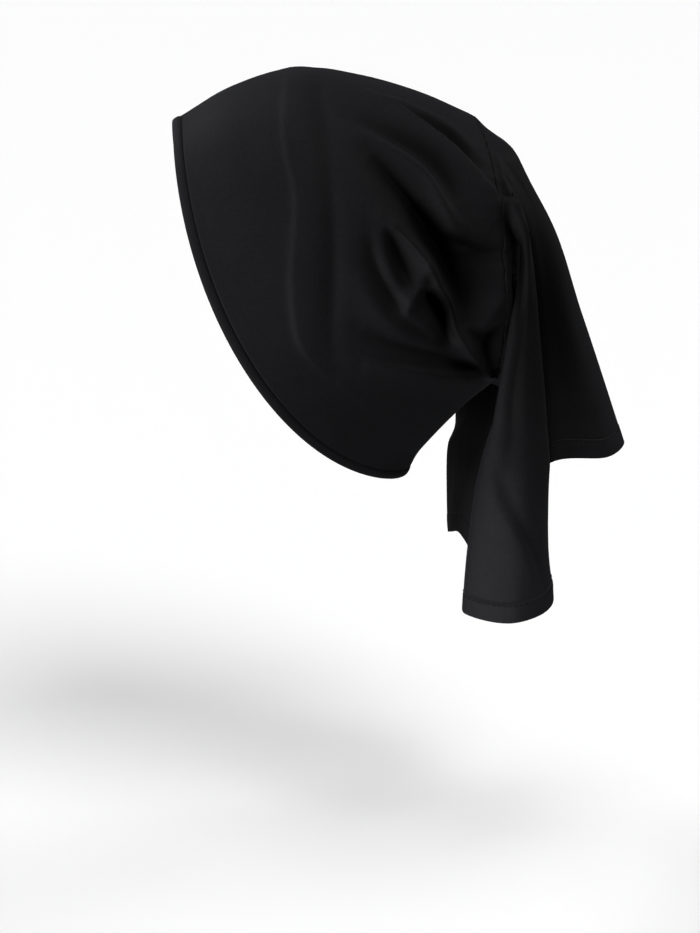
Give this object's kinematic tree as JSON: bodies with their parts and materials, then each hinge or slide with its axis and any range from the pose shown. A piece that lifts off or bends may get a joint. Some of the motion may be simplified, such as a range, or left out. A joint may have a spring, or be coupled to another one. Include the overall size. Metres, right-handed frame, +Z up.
{
  "type": "hijab underscarf cap",
  "caption": "Black stretch-jersey underscarf cap with a rolled front edge and an open hemmed tail, shaped as worn.",
  "frame": {"origin": "inside of the crown, where the top of the head touches the cloth", "axes": "+Z up, -Y towards the face, +X towards the wearer's left"},
  "size_m": [0.1623, 0.2489, 0.2929],
  "materials": {
    "jersey": "matt fine-knit stretch jersey, black with a faint cool cast"
  },
  "bodies": {
    "root": {"cap_body": "jersey", "front_rim": "jersey", "tail": "jersey", "tail_hem": "jersey"}
  },
  "joints": []
}
